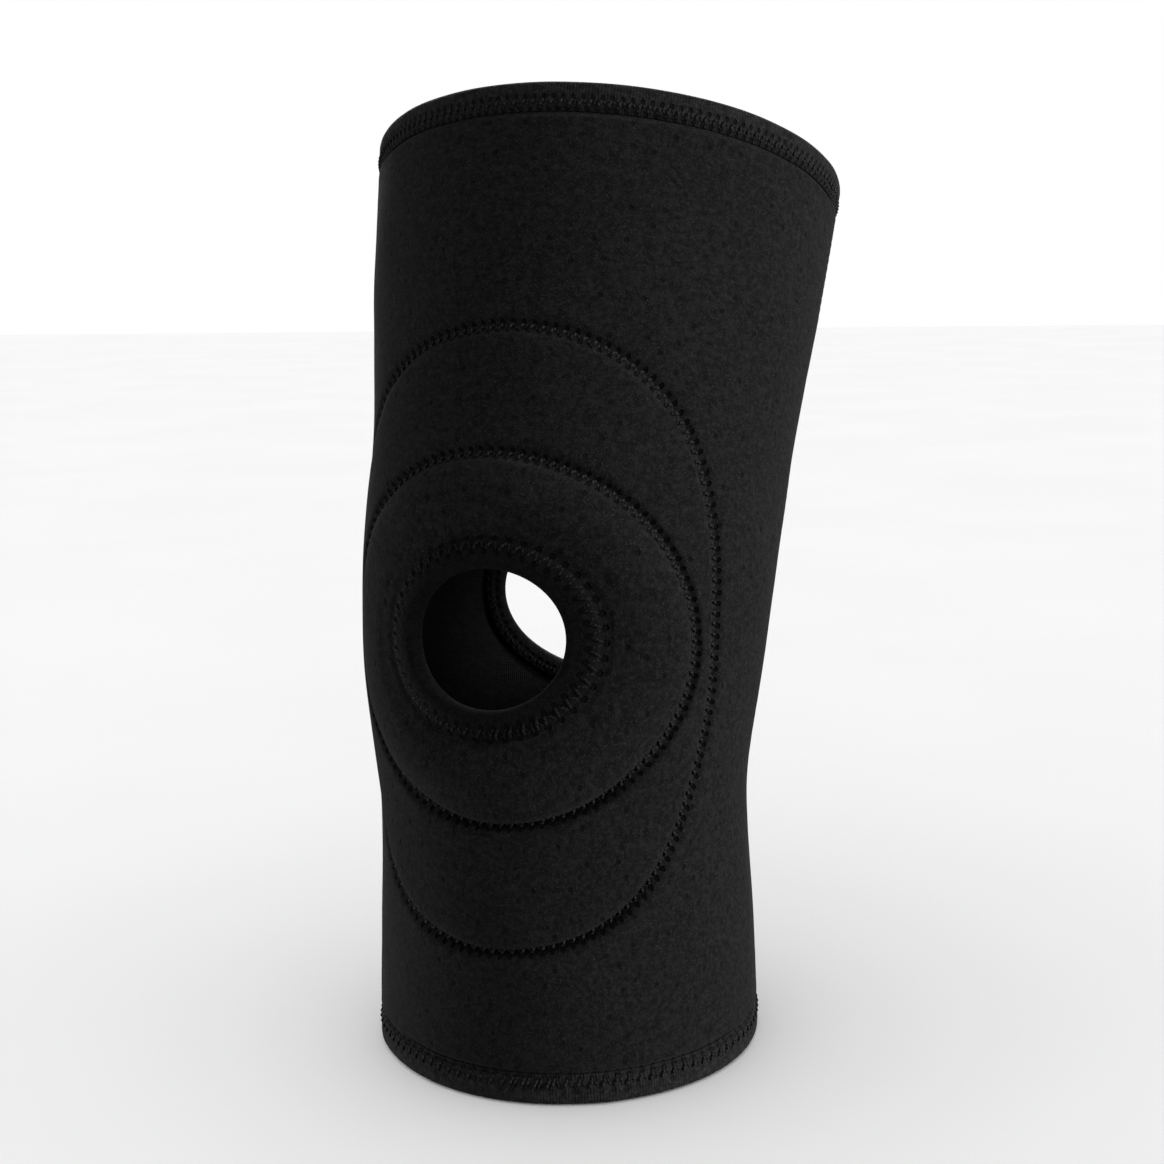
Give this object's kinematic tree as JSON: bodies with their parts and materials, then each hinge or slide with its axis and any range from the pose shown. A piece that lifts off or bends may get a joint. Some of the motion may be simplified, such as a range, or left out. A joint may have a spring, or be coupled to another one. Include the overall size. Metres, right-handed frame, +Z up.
{
  "type": "knee brace",
  "caption": "Pull-on neoprene knee sleeve, shaped to a bent leg, with a padded ring round an open kneecap hole, an oval support pad, bound hems and an opening behind the knee",
  "frame": {"origin": "bottom centre of the bounding box, on the surface that the bottom hem stands on", "axes": "+Z up the leg from the calf to the thigh, -Y the front with the kneecap's opening, +X towards the wearer's left when it is worn on the left knee"},
  "size_m": [0.1552, 0.1856, 0.2994],
  "materials": {
    "neoprene_knit": "matt black knit bonded to neoprene foam, with a short pale pile",
    "lining_knit": "matt black lining knit",
    "binding_tape": "smooth black elastic tape with a slight sheen",
    "thread": "black polyester thread, semi-matt",
    "foam": "matt dark grey closed-cell foam"
  },
  "bodies": {
    "calf": {"calf_sleeve": "neoprene_knit", "knee_sleeve_right": "neoprene_knit", "knee_sleeve_left": "neoprene_knit", "support_pad": "lining_knit", "buttress_ring": "foam", "buttress_cover": "lining_knit", "bottom_binding": "binding_tape", "patella_binding": "binding_tape", "popliteal_binding": "binding_tape", "lower_seam_tape": "binding_tape", "bottom_hem_stitching": "thread", "patella_stitching": "thread", "popliteal_stitching": "thread", "buttress_stitching": "thread", "support_pad_stitching": "thread", "lower_seam_stitching": "thread"},
    "thigh": {"thigh_sleeve": "neoprene_knit", "top_binding": "binding_tape", "upper_seam_tape": "binding_tape", "top_hem_stitching": "thread", "upper_seam_stitching": "thread"}
  },
  "joints": [
    {"name": "knee_flexion", "type": "hinge", "parent": "calf", "child": "thigh", "pos_m": [0, -0.02608, 0.12799], "axis": [-1, 0, 0], "range_deg": [-19, 71], "stiffness_Nm_per_rad": 1.2, "deforming": ["knee_sleeve_right", "knee_sleeve_left", "support_pad", "buttress_ring", "buttress_cover", "patella_binding", "popliteal_binding", "lower_seam_tape", "patella_stitching", "popliteal_stitching", "buttress_stitching", "support_pad_stitching", "lower_seam_stitching"]}
  ]
}
